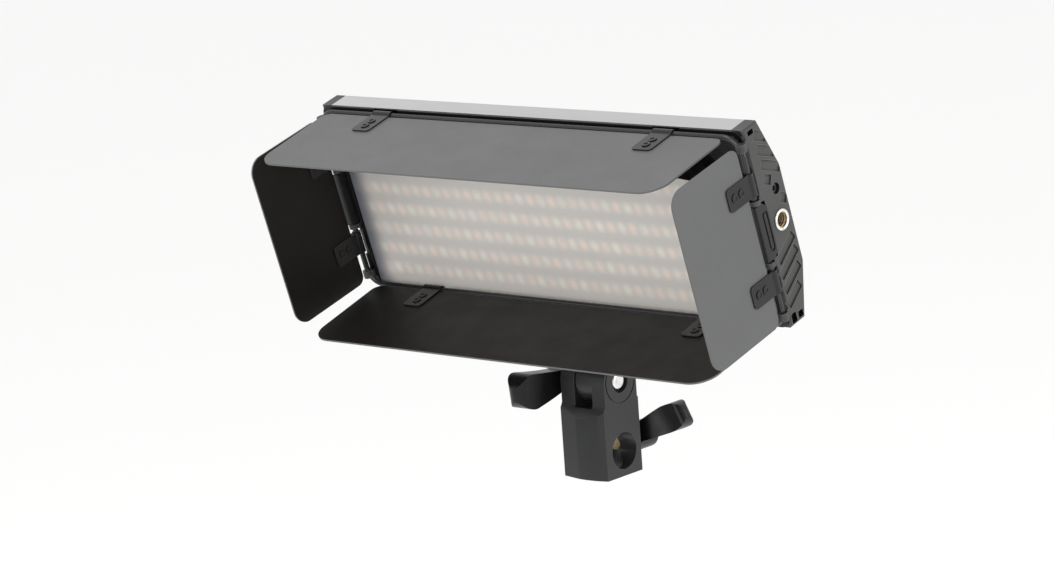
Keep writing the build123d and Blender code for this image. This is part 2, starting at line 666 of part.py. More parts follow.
# ---- base: the block under the panel that takes the stud ----
BASE_X = 15.0
BASE_LOW = -50.0
with BuildPart() as base_block:
    block((-BASE_X, 3.4, BASE_LOW), (BASE_X, 16.4, -HALF_H - 0.02))
    fillet(base_block.edges().filter_by(Axis.Z), 3)
    rod(Plane.XY.offset(BASE_LOW), INSERT_R + 0.02, 6, [(0, STUD_Y)], Mode.SUBTRACT)
    rod(Plane.XY.offset(BASE_LOW), 2.4, 2.4, BASE_SCREWS, Mode.SUBTRACT)
    rod(Plane.XY.offset(BASE_LOW), 1.4, 6, BASE_SCREWS, Mode.SUBTRACT)
hand_in(base_block, "base_block")

hand_in(insert(Plane.XY.offset(BASE_LOW - 0.02), (0, STUD_Y), 6.5), "base_insert")

with BuildPart() as base_screws:
    rod(Plane.XY.offset(BASE_LOW + 0.8), 2.3, 1.55, BASE_SCREWS)
    rod(Plane.XY.offset(BASE_LOW + 2.3), 1.35, 4.0, BASE_SCREWS)
hand_in(base_screws, "base_screws")


# ---- tilt head, stud and lock ring, in the bench frame ----
NECK_TOP = -58.0
NECK_LOW = -PIVOT_DROP + 13.0
NECK_R = 8.0
TONGUE_HALF = 6.2
STUD_TOP = -43.8
TONGUE_R = 10.2
TONGUE_LEFT = EAR_LEFT + 0.6
TONGUE_RIGHT = EAR_RIGHT - 0.6

with BuildPart() as tilt_head:
    with BuildSketch(Plane.YZ.offset(TONGUE_LEFT)):
        with Locations((PIVOT_Y, -PIVOT_DROP)):
            Circle(TONGUE_R)
        with BuildLine():
            Polyline(
                (PIVOT_Y - TONGUE_R + 0.6, -PIVOT_DROP + 1),
                (STUD_Y - TONGUE_HALF, NECK_LOW + 2),
                (STUD_Y - TONGUE_HALF, NECK_LOW + 6),
                (STUD_Y + TONGUE_HALF, NECK_LOW + 6),
                (STUD_Y + TONGUE_HALF, NECK_LOW + 2),
                (PIVOT_Y + TONGUE_R - 0.6, -PIVOT_DROP + 1),
                close=True,
            )
        make_face()
    extrude(amount=TONGUE_RIGHT - TONGUE_LEFT)
    rod(Plane.XY.offset(NECK_LOW), NECK_R, NECK_TOP - NECK_LOW, [(0, STUD_Y)])
    rod(Plane.XY.offset(NECK_TOP - 3), NECK_R + 2, 3, [(0, STUD_Y)])
    rod(side_plane(-10), BOLT_R + RUN, 20, [(PIVOT_Y, -PIVOT_DROP)], Mode.SUBTRACT)
    rod(Plane.XY.offset(NECK_TOP - 8), STUD_R, 9, [(0, STUD_Y)], Mode.SUBTRACT)
hand_in(tilt_head, "tilt_head")

with BuildPart() as quarter_inch_stud:
    rod(Plane.XY.offset(NECK_TOP - 7.9), STUD_R - 0.02, 8.0, [(0, STUD_Y)])
    rod(Plane.XY.offset(NECK_TOP), STUD_R, STUD_TOP - NECK_TOP, [(0, STUD_Y)])
    chamfer(quarter_inch_stud.edges().group_by(Axis.Z)[-1], 0.6)
hand_in(quarter_inch_stud, "quarter_inch_stud")

RING_R = 11.5
with BuildPart() as lock_ring:
    rod(Plane.XY.offset(-56.9), RING_R, 5.2, [(0, STUD_Y)])
    with BuildSketch(Plane.XY.offset(-57)):
        with Locations((0, STUD_Y)):
            with PolarLocations(RING_R + 0.3, 30):
                Circle(0.8)
    extrude(amount=6, mode=Mode.SUBTRACT)
    rod(Plane.XY.offset(-57), STUD_R + RUN, 6, [(0, STUD_Y)], Mode.SUBTRACT)
hand_in(lock_ring, "lock_ring")

with BuildPart() as ring_pad:
    rod(Plane.XY.offset(-51.68), 9.6, 1.5, [(0, STUD_Y)])
    rod(Plane.XY.offset(-52), INSERT_BORE + 0.6, 3, [(0, STUD_Y)], Mode.SUBTRACT)
hand_in(ring_pad, "ring_pad")


# ---- stand bracket, in the world frame ----
FRONT_SIDE = -12.1
FRONT_MID = -14.0
CREASE_X = -3.0
BOSS_Y = 14.5
CLAMP_R = 3.0

with BuildPart() as stand_bracket:
    with BuildSketch():
        with BuildLine():
            Line((-BLOCK_X, FRONT_SIDE), (CREASE_X, FRONT_MID))
            ThreePointArc((CREASE_X, FRONT_MID), (5.2, FRONT_MID + 0.15), (BLOCK_X, FRONT_SIDE))
            Polyline(
                (BLOCK_X, FRONT_SIDE),
                (BLOCK_X, BLOCK_BACK),
                (-BLOCK_X, BLOCK_BACK),
                (-BLOCK_X, FRONT_SIDE),
            )
        make_face()
    extrude(amount=BLOCK_TOP)
    # the front's top edge slopes up to the ears
    with BuildSketch(Plane.YZ.offset(-BLOCK_X - 1)):
        with BuildLine():
            Polyline(
                (-EAR_R, BLOCK_TOP),
                (-16, BLOCK_TOP - 9.6),
                (-16, BLOCK_TOP + 1),
                (-EAR_R, BLOCK_TOP + 1),
                close=True,
            )
        make_face()
    extrude(amount=2 * BLOCK_X + 2, mode=Mode.SUBTRACT)
    # two ears, rounded about the tilt bolt
    with BuildSketch(Plane.YZ.offset(-BLOCK_X)):
        with Locations((0, PIVOT_Z)):
            Circle(EAR_R)
        with Locations((0, (BLOCK_TOP - 1 + PIVOT_Z) / 2)):
            Rectangle(2 * EAR_R, PIVOT_Z - BLOCK_TOP + 1)
    extrude(amount=2 * BLOCK_X)
    chamfer(stand_bracket.edges().filter_by(Axis.Z).filter_by_position(Axis.Y, 12, 13), 0.7)
    block((EAR_LEFT, -16, BLOCK_TOP - 1.6), (EAR_RIGHT, 16, PIVOT_Z + 12), Mode.SUBTRACT)
    # tilt bolt hole, its head recess, and the shallow ring groove round it
    rod(side_plane(-14), BOLT_R + RUN, 28, [(0, PIVOT_Z)], Mode.SUBTRACT)
    rod(side_plane(BLOCK_X - 2.8), 5.2, 4, [(0, PIVOT_Z)], Mode.SUBTRACT)
    with BuildSketch(side_plane(BLOCK_X - 0.6)):
        with Locations((0, PIVOT_Z)):
            Circle(10.0)
            Circle(9.3, mode=Mode.SUBTRACT)
    extrude(amount=1, mode=Mode.SUBTRACT)
    # spigot bores, upright and across
    rod(back_plane(8), 7.5, BOSS_Y - 8, [(0, CROSS_Z)])
    rod(Plane.XY, SPIGOT_R, SPIGOT_DEPTH, mode=Mode.SUBTRACT)
    rod(side_plane(-BLOCK_X), SPIGOT_R, 2 * BLOCK_X, [(0, CROSS_Z)], Mode.SUBTRACT)
    # clamp screw
    rod(back_plane(7), CLAMP_R + RUN, 8, [(0, CROSS_Z)], Mode.SUBTRACT)
    rod(back_plane(9.8), 4.62, 6, [(0, CROSS_Z)], Mode.SUBTRACT)
hand_in(stand_bracket, "stand_bracket", WORLD)

with BuildPart() as clamp_bush:
    rod(back_plane(9.82), 4.6, BOSS_Y - 9.82, [(0, CROSS_Z)])
    rod(back_plane(9.7), CLAMP_R + RUN, 6, [(0, CROSS_Z)], Mode.SUBTRACT)
hand_in(clamp_bush, "clamp_bush", WORLD)

with BuildPart() as friction_washers:
    for x in (EAR_LEFT + 0.04, EAR_RIGHT - 0.54):
        rod(side_plane(x), 9.0, 0.5, [(0, PIVOT_Z)])
    rod(side_plane(-6), BOLT_R + 0.1, 13, [(0, PIVOT_Z)], Mode.SUBTRACT)
hand_in(friction_washers, "friction_washers", WORLD)

with BuildPart() as tilt_bolt:
    rod(side_plane(-21), BOLT_R, 30.7, [(0, PIVOT_Z)])
    rod(side_plane(BLOCK_X - 2.78), 4.1, 2.2, [(0, PIVOT_Z)])
    fillet(tilt_bolt.edges().group_by(Axis.X)[-1], 1.4)
hand_in(tilt_bolt, "tilt_bolt", WORLD)


def t_knob(reach, lobe, height, flare, waist, screw_r, screw_depth):
    """A T-handle knob: the axis is +Z, the wings run along X, widen, and curl away from the work."""
    tip = reach - lobe / 2
    with BuildPart() as knob:
        for way in (-1, 1):
            with BuildSketch(Plane.XZ) as wing:
                low_end = (way * (tip + lobe * 0.2), height - lobe)
                high_end = (way * (tip - lobe * 0.1), height)
                with BuildLine() as edge:
                    ThreePointArc((0, 1.5), (way * tip * 0.55, height * 0.16), low_end)
                    ThreePointArc(low_end, (way * reach, height - lobe * 0.45), high_end)
                    ThreePointArc(high_end, (way * tip * 0.55, height * 0.66), (0, height * 0.72))
                    Line((0, height * 0.72), (0, 1.5))
                make_face(edge.edges())
            extrude(wing.sketch, amount=flare / 2, both=True)
        with BuildSketch() as plan:
            for way in (-1, 1):
                near, far = way * 7, way * (tip - 2)
                with BuildLine() as edge:
                    Polyline((far, flare / 2), (near, waist / 2), (0, waist / 2))
                    Line((0, waist / 2), (0, -waist / 2))
                    Polyline((0, -waist / 2), (near, -waist / 2), (far, -flare / 2))
                    ThreePointArc((far, -flare / 2), (way * (reach + 0.5), 0), (far, flare / 2))
                make_face(edge.edges())
        extrude(plan.sketch, amount=height + 1, mode=Mode.INTERSECT)
        rod(Plane.XY, 6.4, height * 0.72)
        chamfer(knob.faces().sort_by(Axis.Z)[0].edges(), 0.5)
        rod(Plane.XY.offset(-1), screw_r, screw_depth + 1, mode=Mode.SUBTRACT)
    return knob


TILT_KNOB_X = -BLOCK_X - 0.25
with BuildPart() as knob_nut:
    rod(side_plane(TILT_KNOB_X - 8.2), 5.0, 8.0, [(0, PIVOT_Z)])
    rod(side_plane(TILT_KNOB_X - 9), BOLT_R + RUN, 10, [(0, PIVOT_Z)], Mode.SUBTRACT)
hand_in(knob_nut, "tilt_knob_nut", WORLD)

LEFT_AXIS = Location((TILT_KNOB_X, 0, PIVOT_Z), (0, -90, 0))
tilt_knob = t_knob(
    reach=30, lobe=10.5, height=16.0, flare=16.0, waist=9.5, screw_r=5.02, screw_depth=9.0
)
hand_in(tilt_knob, "tilt_knob", LEFT_AXIS * Location((0, 0, 0), (0, 0, 83)))

CLAMP_KNOB_Y = BOSS_Y + 1.8  # room to screw in by a full turn
CLAMP_AXIS = Location((0, CLAMP_KNOB_Y, CROSS_Z), (-90, 0, 0))
clamp_knob = t_knob(
    reach=25, lobe=8.5, height=20.5, flare=12.5, waist=8.5, screw_r=CLAMP_R + 0.01, screw_depth=7.0
)
hand_in(clamp_knob, "clamp_knob", CLAMP_AXIS * Location((0, 0, 0), (0, 0, -28)))

PAD_Y = 8.45
with BuildPart() as clamp_pad:
    rod(back_plane(PAD_Y), CLAMP_R, 1.4, [(0, CROSS_Z)])
hand_in(clamp_pad, "clamp_pad", WORLD)

with BuildPart() as clamp_screw:
    rod(back_plane(PAD_Y + 1.42), CLAMP_R, CLAMP_KNOB_Y + 7 - PAD_Y - 1.42, [(0, CROSS_Z)])
hand_in(clamp_screw, "clamp_screw", WORLD)
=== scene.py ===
"""LED panel light: finishes, small visual details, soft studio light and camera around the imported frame.

Lengths are metres in the row frame. Head pieces are laid out in the panel's own upright frame,
whose origin is the middle of the four door rods, and HEAD carries them to their place.
"""

import json
from math import atan2, cos, pi, radians, sin, tau

import bmesh
import bpy
from mathutils import Matrix, Vector


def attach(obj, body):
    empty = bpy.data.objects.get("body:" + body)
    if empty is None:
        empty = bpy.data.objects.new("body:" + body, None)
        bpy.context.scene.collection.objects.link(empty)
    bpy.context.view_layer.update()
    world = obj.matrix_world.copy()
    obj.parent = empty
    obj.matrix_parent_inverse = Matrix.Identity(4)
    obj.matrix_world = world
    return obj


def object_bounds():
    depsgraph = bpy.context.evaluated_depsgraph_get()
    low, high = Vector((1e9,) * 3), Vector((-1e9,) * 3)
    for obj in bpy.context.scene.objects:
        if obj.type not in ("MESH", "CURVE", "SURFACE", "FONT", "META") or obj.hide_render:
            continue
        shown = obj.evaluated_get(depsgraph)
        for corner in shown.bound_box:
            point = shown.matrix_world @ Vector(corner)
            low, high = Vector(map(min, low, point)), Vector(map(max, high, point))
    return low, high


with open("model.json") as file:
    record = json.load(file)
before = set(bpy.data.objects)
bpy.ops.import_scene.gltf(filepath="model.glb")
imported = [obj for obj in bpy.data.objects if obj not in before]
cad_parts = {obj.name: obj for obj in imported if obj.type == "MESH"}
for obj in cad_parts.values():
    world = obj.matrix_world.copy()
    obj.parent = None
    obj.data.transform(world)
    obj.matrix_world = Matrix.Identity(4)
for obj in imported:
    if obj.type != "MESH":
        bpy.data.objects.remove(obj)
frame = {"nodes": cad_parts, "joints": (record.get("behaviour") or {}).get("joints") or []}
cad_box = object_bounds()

MM = 0.001
NODES = frame["nodes"]
SIDES = ("top", "bottom", "left", "right")
JOINTS = {joint["name"]: joint for joint in frame["joints"]}


def joint_place(name):
    """Where a joint's axis runs, in the row frame."""
    return Vector(JOINTS[name]["pos_m"])


rod_top = joint_place("door_top_hinge")
rod_bottom = joint_place("door_bottom_hinge")
rod_span = rod_top - rod_bottom
LEAN = atan2(-rod_span.y, rod_span.z)
HEAD_ORIGIN = (rod_top + rod_bottom) / 2
HEAD = Matrix.Translation(HEAD_ORIGIN) @ Matrix.Rotation(LEAN, 4, "X")
TO_HEAD = HEAD.inverted()


def head_box(name):
    """A node's lowest and highest corners in the panel's own frame."""
    points = [TO_HEAD @ vertex.co for vertex in NODES[name].data.vertices]
    low = Vector([min(p[axis] for p in points) for axis in range(3)])
    high = Vector([max(p[axis] for p in points) for axis in range(3)])
    return low, high


# ---- finishes ----
EDGE_LIKENESS = (0.70, 0.97)  # how alike the real and rounded normals are, from a sharp edge to a flat face


class Finish:
    """A node material in the making. Its patterns are laid out in the panel's own frame."""

    def __init__(self, name, color, roughness, **sockets):
        self.material = bpy.data.materials.new(name)
        self.material.use_nodes = True
        self.tree = self.material.node_tree
        self.shader = self.tree.nodes["Principled BSDF"]
        self.shader.inputs["Base Color"].default_value = (*color, 1.0)
        self.shader.inputs["Roughness"].default_value = roughness
        for socket, value in sockets.items():
            self.shader.inputs[socket.replace("_", " ")].default_value = value
        self.coordinates = self.node("ShaderNodeTexCoord")
        self.place = self.node(
            "ShaderNodeMapping",
            Vector=self.coordinates.outputs["Object"],
            Rotation=(-LEAN, 0, 0),
            Location=TO_HEAD.translation,
        ).outputs[0]
        self.normal = None

    def node(self, kind, attributes=None, **inputs):
        """A node with its attributes and inputs set, or linked where the value is a socket."""
        made = self.tree.nodes.new(kind)
        for key, value in (attributes or {}).items():
            setattr(made, key, value)
        for key, value in inputs.items():
            self.plug(made.inputs[key.replace("_", " ")], value)
        return made

    def plug(self, socket, value):
        if isinstance(value, bpy.types.NodeSocket):
            self.tree.links.new(value, socket)
        else:
            socket.default_value = value

    def sums(self, operation, *values):
        """One Math node."""
        made = self.node("ShaderNodeMath", {"operation": operation})
        for socket, value in zip(made.inputs, values):
            self.plug(socket, value)
        return made.outputs[0]

    def spread(self, value, low, high, start=0.3, end=0.7, smooth=False):
        """A value taken from start..end to low..high and kept between them."""
        kind = {"interpolation_type": "SMOOTHSTEP" if smooth else "LINEAR"}
        made = self.node("ShaderNodeMapRange", kind, Value=value)
        for socket, number in zip(("From Min", "From Max", "To Min", "To Max"), (start, end, low, high)):
            self.plug(made.inputs[socket], number)
        return made.outputs[0]

    def noise(self, size, detail=3.0, stretch=(1, 1, 1), shift=0.0):
        """Smooth noise with features of about that size."""
        moved = self.node("ShaderNodeMapping", Vector=self.place, Location=(shift, shift, shift))
        moved.inputs["Scale"].default_value = [1 / s for s in stretch]
        made = self.node("ShaderNodeTexNoise", Vector=moved.outputs[0], Scale=1 / size, Detail=detail)
        return made.outputs[0]

    def grains(self, size, shift=0.0):
        """Distance to the nearest of many scattered points."""
        moved = self.node("ShaderNodeMapping", Vector=self.place, Location=(shift, shift, shift))
        return self.node("ShaderNodeTexVoronoi", Vector=moved.outputs[0], Scale=1 / size).outputs["Distance"]

    def blend(self, factor, first, second):
        """A colour between two."""
        made = self.node("ShaderNodeMix", {"data_type": "RGBA"})
        for socket, value in zip((made.inputs[0], made.inputs[6], made.inputs[7]), (factor, first, second)):
            whole = value if isinstance(value, (bpy.types.NodeSocket, float)) else (*value, 1.0)
            self.plug(socket, whole)
        return made.outputs[2]

    def color(self, socket):
        self.plug(self.shader.inputs["Base Color"], socket)

    def rough(self, socket):
        self.plug(self.shader.inputs["Roughness"], socket)

    def relief(self, height, depth):
        """Bump of that depth, over any bump given before."""
        made = self.node("ShaderNodeBump", Height=height, Distance=depth)
        if self.normal is not None:
            self.plug(made.inputs["Normal"], self.normal)
        self.normal = made.outputs[0]
        self.plug(self.shader.inputs["Normal"], self.normal)

    def axis(self, letter):
        """One coordinate of the surface point in the panel's own frame."""
        return self.node("ShaderNodeSeparateXYZ", Vector=self.place).outputs[letter]

    def dot(self, first, second):
        """One dot product."""
        made = self.node("ShaderNodeVectorMath", {"operation": "DOT_PRODUCT"})
        self.plug(made.inputs[0], first)
        self.plug(made.inputs[1], second)
        return made.outputs["Value"]

    def facing(self, direction):
        """How far the surface looks along a direction of the row frame."""
        return self.dot(self.coordinates.outputs["Normal"], direction)

    def color_so_far(self):
        """The socket that the base colour comes from."""
        return self.shader.inputs["Base Color"].links[0].from_socket

    def paint_edge_highlight(self, pale, amount, width):
        """Painted highlight: edges made paler within that width of them, in place of light caught on rounded
        edges.
        """
        rounded = self.node("ShaderNodeBevel", {"samples": 6}, Radius=width).outputs[0]
        likeness = self.dot(rounded, self.node("ShaderNodeNewGeometry").outputs["Normal"])
        edge = self.spread(likeness, amount, 0.0, *EDGE_LIKENESS)
        self.color(self.blend(edge, self.color_so_far(), pale))
        return self


def shade(color, factor):
    """A colour made darker or lighter."""
    return tuple(min(1.0, part * factor) for part in color)


def moulded(name, color, roughness, grain=0.5 * MM, depth=0.02 * MM, mottle=0.12, **sockets):
    """Moulded plastic: fine spark-eroded grain, faint handling marks and uneven gloss."""
    made = Finish(name, color, roughness, **sockets)
    handled = made.noise(22 * MM, 4.0, shift=0.3)
    made.color(made.blend(made.spread(handled, 0.0, 1.0), shade(color, 1 - mottle), shade(color, 1 + mottle)))
    made.rough(made.spread(made.noise(9 * MM, 5.0, shift=0.1), roughness - 0.07, roughness + 0.08))
    made.relief(made.noise(grain, 2.0), depth)
    made.relief(made.grains(grain * 1.7, shift=0.7), depth * 0.6)
    return made


def coated(name, color, roughness, peel=0.9 * MM, depth=0.02 * MM, **sockets):
    """Powder coat or satin paint: orange peel, fine speckle and dust-dull patches."""
    made = Finish(name, color, roughness, **sockets)
    dust = made.spread(made.noise(30 * MM, 6.0, shift=0.5), 0.0, 1.0, 0.42, 0.75)
    speck = made.spread(made.noise(0.7 * MM, 1.0, shift=0.2), 0.0, 1.0, 0.6, 0.8)
    tone = made.blend(made.sums("MULTIPLY", dust, 0.25), color, shade(color, 1.3))
    made.color(made.blend(made.sums("MULTIPLY", speck, 0.2), tone, shade(color, 2.0)))
    made.rough(made.spread(made.noise(14 * MM, 5.0, shift=0.9), roughness - 0.03, roughness + 0.05))
    made.relief(made.noise(peel, 2.0), depth)
    return made


def edge_highlighted_paint(name, color, roughness, peel, depth, gloss):
    """Black paint on metal, with a painted highlight along its edges."""
    made = coated(name, color, roughness, peel, depth, Specular_IOR_Level=gloss)
    # painted highlight: the edges are made paler, standing in for light caught on them
    return made.paint_edge_highlight(shade(color, 7.0), 0.6, 0.45 * MM)


def vented_cap():
    """The end caps' grained plastic, with painted shade down in the vents and a painted highlight along the
    edges.
    """
    made = moulded("cap_grained", (0.038, 0.038, 0.037), 0.44, 0.55 * MM, 0.05 * MM, Specular_IOR_Level=0.4)
    grained = made.color_so_far()
    # painted shade: ambient occlusion darkens the colour to near black in the vents and crevices
    open_sky = made.node("ShaderNodeAmbientOcclusion", {"samples": 8}, Distance=4 * MM).outputs["AO"]
    made.color(made.blend(made.spread(open_sky, 0.0, 1.0, 0.5, 0.92), (0.001, 0.001, 0.001), grained))
    # painted highlight along the cap's edges
    return made.paint_edge_highlight((0.16, 0.16, 0.158), 0.8, 0.5 * MM)


def turned_metal(name, color, roughness, lay=(1, 1, 1), **sockets):
    """Plated or machined metal with fine tool lines and a little tarnish."""
    made = Finish(name, color, roughness, Metallic=1.0, **sockets)
    tarnish = made.spread(made.noise(3 * MM, 4.0), 0.0, 1.0, 0.35, 0.75)
    made.color(made.blend(tarnish, color, shade(color, 0.72)))
    lines = made.noise(0.35 * MM, 3.0, stretch=lay, shift=0.4)
    made.rough(made.spread(lines, roughness - 0.08, roughness + 0.12))
    made.relief(lines, 0.006 * MM)
    return made


def brushed_aluminium():
    """Clear-anodised extrusion, brushed along its length."""
    color = (0.52, 0.52, 0.523)
    made = Finish("shell_anodised", color, 0.42, Metallic=0.85, Anisotropic=0.3)
    along = (26, 1, 1)
    hair = made.noise(0.5 * MM, 4.0, stretch=along)
    bands = made.noise(4.0 * MM, 3.0, stretch=(40, 1, 1), shift=0.6)
    cloud = made.noise(45 * MM, 4.0, shift=0.8)
    tone = made.blend(made.spread(hair, 0.0, 1.0), shade(color, 0.93), shade(color, 1.05))
    made.color(made.blend(made.spread(bands, 0.0, 0.35), tone, shade(color, 0.86)))
    made.rough(made.sums("ADD", made.spread(hair, -0.05, 0.06), made.spread(cloud, 0.40, 0.48)))
    made.relief(hair, 0.006 * MM)
    return made


LED_PITCH_X = 6.06 * MM
LED_PITCH_Z = 10.0 * MM
SPOT_WIDE, SPOT_TALL, SPOT_SLANT = 2.3 * MM, 2.7 * MM, 0.12


def led_cells(made):
    """Offsets from the nearest LED across and up the panel, and 0 or 1 in a checkerboard."""
    columns = made.sums("DIVIDE", made.axis("X"), LED_PITCH_X)
    rows = made.sums("DIVIDE", made.axis("Z"), LED_PITCH_Z)
    across = made.sums("MULTIPLY", made.sums("SUBTRACT", made.sums("FRACT", columns), 0.5), LED_PITCH_X)
    up = made.sums("MULTIPLY", made.sums("SUBTRACT", made.sums("FRACT", rows), 0.5), LED_PITCH_Z)
    count = made.sums("ADD", made.sums("FLOOR", columns), made.sums("FLOOR", rows))
    return across, up, made.sums("PINGPONG", count, 1.0)


def frosted_diffuser():
    """Frosted sheet with the LEDs' soft spots showing through, and darker borders over the side walls: partly
    the dark walls behind the sheet, partly painted shade.
    """
    plain = (0.585, 0.558, 0.527)
    made = Finish("diffuser_frosted", plain, 0.42, Coat_Weight=0.12, Coat_Roughness=0.3)
    across, up, cool = led_cells(made)
    slanted = made.sums("ADD", across, made.sums("MULTIPLY", up, SPOT_SLANT))
    wide = made.sums("POWER", made.sums("DIVIDE", slanted, SPOT_WIDE), 2.0)
    tall = made.sums("POWER", made.sums("DIVIDE", up, SPOT_TALL), 2.0)
    spot = made.spread(made.sums("SQRT", made.sums("ADD", wide, tall)), 1.0, 0.0, 0.1, 1.5, smooth=True)
    haze = made.spread(made.sums("ABSOLUTE", up), 1.0, 0.0, 0.5 * MM, 4.6 * MM, smooth=True)
    tint = made.blend(cool, (0.82, 0.695, 0.61), (0.80, 0.76, 0.685))
    uneven = made.spread(made.noise(5 * MM, 3.0, shift=0.2), 0.45, 1.0, 0.35, 0.6)
    banded = made.blend(made.sums("MULTIPLY", haze, 0.8), plain, (0.665, 0.626, 0.583))
    lit = made.blend(made.sums("MULTIPLY", spot, uneven), banded, tint)
    high = head_box("diffuser")[1]
    # painted shade: darker towards the sheet's sides and ends, next to the frame's walls
    to_side = made.sums("SUBTRACT", high.x - 1.5 * MM, made.sums("ABSOLUTE", made.axis("X")))
    to_end = made.sums("SUBTRACT", high.z - 0.5 * MM, made.sums("ABSOLUTE", made.axis("Z")))
    side_shade = made.spread(to_side, 0.9, 0.0, 0.0, 11.0 * MM, smooth=True)
    end_shade = made.spread(to_end, 0.35, 0.0, 0.0, 3.5 * MM, smooth=True)
    cloud = made.spread(made.noise(50 * MM, 3.0), 0.0, 0.10, 0.35, 0.65)
    lit = made.blend(cloud, lit, shade(plain, 0.8))
    lit = made.blend(end_shade, lit, (0.30, 0.29, 0.28))
    made.color(made.blend(side_shade, lit, (0.105, 0.115, 0.14)))
    made.rough(made.spread(made.noise(6 * MM, 5.0, shift=0.4), 0.37, 0.5))
    made.relief(made.noise(0.6 * MM, 2.0), 0.008 * MM)
    return made


def led_package(name, phosphor):
    """LED packages: a white body with a round phosphor window."""
    white = (0.82, 0.81, 0.77)
    made = Finish(name, white, 0.35)
    across, up, _ = led_cells(made)
    reach = made.sums("ADD", made.sums("POWER", across, 2.0), made.sums("POWER", up, 2.0))
    window = made.spread(made.sums("SQRT", reach), 1.0, 0.0, 1.05 * MM, 1.15 * MM)
    grainy = made.blend(made.noise(0.3 * MM), shade(phosphor, 0.9), phosphor)
    made.color(made.blend(window, white, grainy))
    made.relief(window, -0.12 * MM)
    return made


def circuit_board(name, mask, trace, silk):
    """Solder mask over copper tracks, with pale pads."""
    made = Finish(name, mask, 0.4, Coat_Weight=0.3)
    grid = made.node("ShaderNodeTexBrick", Vector=made.place, Scale=320.0)
    grid.inputs["Mortar Size"].default_value = 0.018
    tracks = made.sums("GREATER_THAN", made.noise(2.4 * MM, 0.0, stretch=(3, 1, 1)), 0.56)
    tone = made.blend(made.sums("MULTIPLY", tracks, 0.8), mask, trace)
    made.color(made.blend(grid.outputs["Fac"], tone, silk))
    made.relief(tracks, 0.03 * MM)
    made.rough(made.spread(made.noise(8 * MM), 0.33, 0.48))
    return made


def dark_glass():
    """Tinted display window with faint wipe marks."""
    made = Finish("display_glass_clear", (0.42, 0.46, 0.5), 0.06, Transmission_Weight=0.92, IOR=1.49)
    smear = made.noise(7 * MM, 5.0, stretch=(4, 1, 1))
    made.rough(made.spread(smear, 0.03, 0.16))
    made.color(made.blend(smear, (0.36, 0.40, 0.44), (0.5, 0.54, 0.58)))
    return made


def door_coat_with_inner_shade(name, inward):
    """Satin powder coat, with painted shade on the inner face, which is made near black and a little rougher.
    """
    outer = (0.096, 0.097, 0.098)
    made = coated(name, outer, 0.40, peel=1.1 * MM, depth=0.008 * MM, Specular_IOR_Level=0.24)
    inside = made.spread(made.facing(inward), 0.0, 1.0, 0.2, 0.7)
    painted = made.color_so_far()
    gloss = made.shader.inputs["Roughness"].links[0].from_socket
    # painted shade: the inner face's colour drops to near black, as if the other leaves shaded it
    made.color(made.blend(inside, painted, (0.0075, 0.0066, 0.0058)))
    made.rough(made.sums("ADD", gloss, made.sums("MULTIPLY", inside, 0.06)))
    return made


FINISHES = {
    "shell_aluminium": brushed_aluminium(),
    "cap_plastic": vented_cap(),
    "bezel_plastic": moulded(
        "bezel_satin", (0.004, 0.004, 0.0045), 0.34, 0.5 * MM, 0.012 * MM, Specular_IOR_Level=0.3
    ),
    "clip_plastic": moulded(
        "clip_satin", (0.010, 0.010, 0.0105), 0.40, 0.5 * MM, 0.02 * MM, Specular_IOR_Level=0.3
    ),
    "diffuser_plastic": frosted_diffuser(),
    "white_plastic": moulded("frame_white", (0.82, 0.82, 0.80), 0.5, 0.6 * MM, 0.01 * MM, 0.03),
    "board": circuit_board("led_board_mask", (0.80, 0.80, 0.78), (0.74, 0.74, 0.71), (0.6, 0.6, 0.58)),
    "driver_pcb": circuit_board("driver_mask", (0.012, 0.085, 0.045), (0.02, 0.15, 0.08), (0.5, 0.42, 0.2)),
    "warm_led": led_package("warm_phosphor", (0.90, 0.50, 0.12)),
    "cool_led": led_package("cool_phosphor", (0.88, 0.80, 0.22)),
    "bright_steel": turned_metal("bright_plated", (0.80, 0.79, 0.77), 0.24),
    "dark_steel": turned_metal("black_oxide", (0.14, 0.14, 0.145), 0.34),
    "rod_steel": coated(
        "rod_black", (0.010, 0.010, 0.0105), 0.26, 0.8 * MM, 0.006 * MM, Specular_IOR_Level=0.5
    ),
    # hinges and bracket: black paint with a painted highlight along the edges
    "hinge_metal": edge_highlighted_paint("hinge_black", (0.007, 0.007, 0.0075), 0.24, 0.9 * MM, 0.008 * MM, 0.36),
    "bracket_metal": edge_highlighted_paint("bracket_texture", (0.017, 0.0175, 0.0175), 0.34, 0.6 * MM, 0.02 * MM, 0.3),
    "knob_plastic": moulded(
        "knob_satin", (0.004, 0.004, 0.0042), 0.33, 0.6 * MM, 0.02 * MM, Specular_IOR_Level=0.24
    ),
    "control_plastic": moulded("control_satin", (0.026, 0.026, 0.027), 0.46, 0.5 * MM, 0.02 * MM),
    "display_glass": dark_glass(),
    "brass": turned_metal("machined_brass", (0.50, 0.38, 0.215), 0.32, (1, 9, 9)),
    "gold_contact": turned_metal("gold_plate", (0.90, 0.66, 0.26), 0.22, (8, 1, 1)),
    "pad_rubber": moulded("pad_rubber_matt", (0.018, 0.018, 0.018), 0.72, 0.8 * MM, 0.03 * MM, 0.2),
    "nylon": moulded("washer_nylon", (0.62, 0.60, 0.54), 0.45, 0.7 * MM, 0.01 * MM, 0.04),
}
MARK_INK = moulded("mark_ink", (0.62, 0.62, 0.60), 0.5, 0.5 * MM, 0.004 * MM, 0.05)
BRIGHT_RING = turned_metal("insert_rolled_lip", (0.80, 0.785, 0.73), 0.30)
THREAD_BRASS = turned_metal("insert_thread", (0.34, 0.24, 0.14), 0.38, (1, 9, 9))


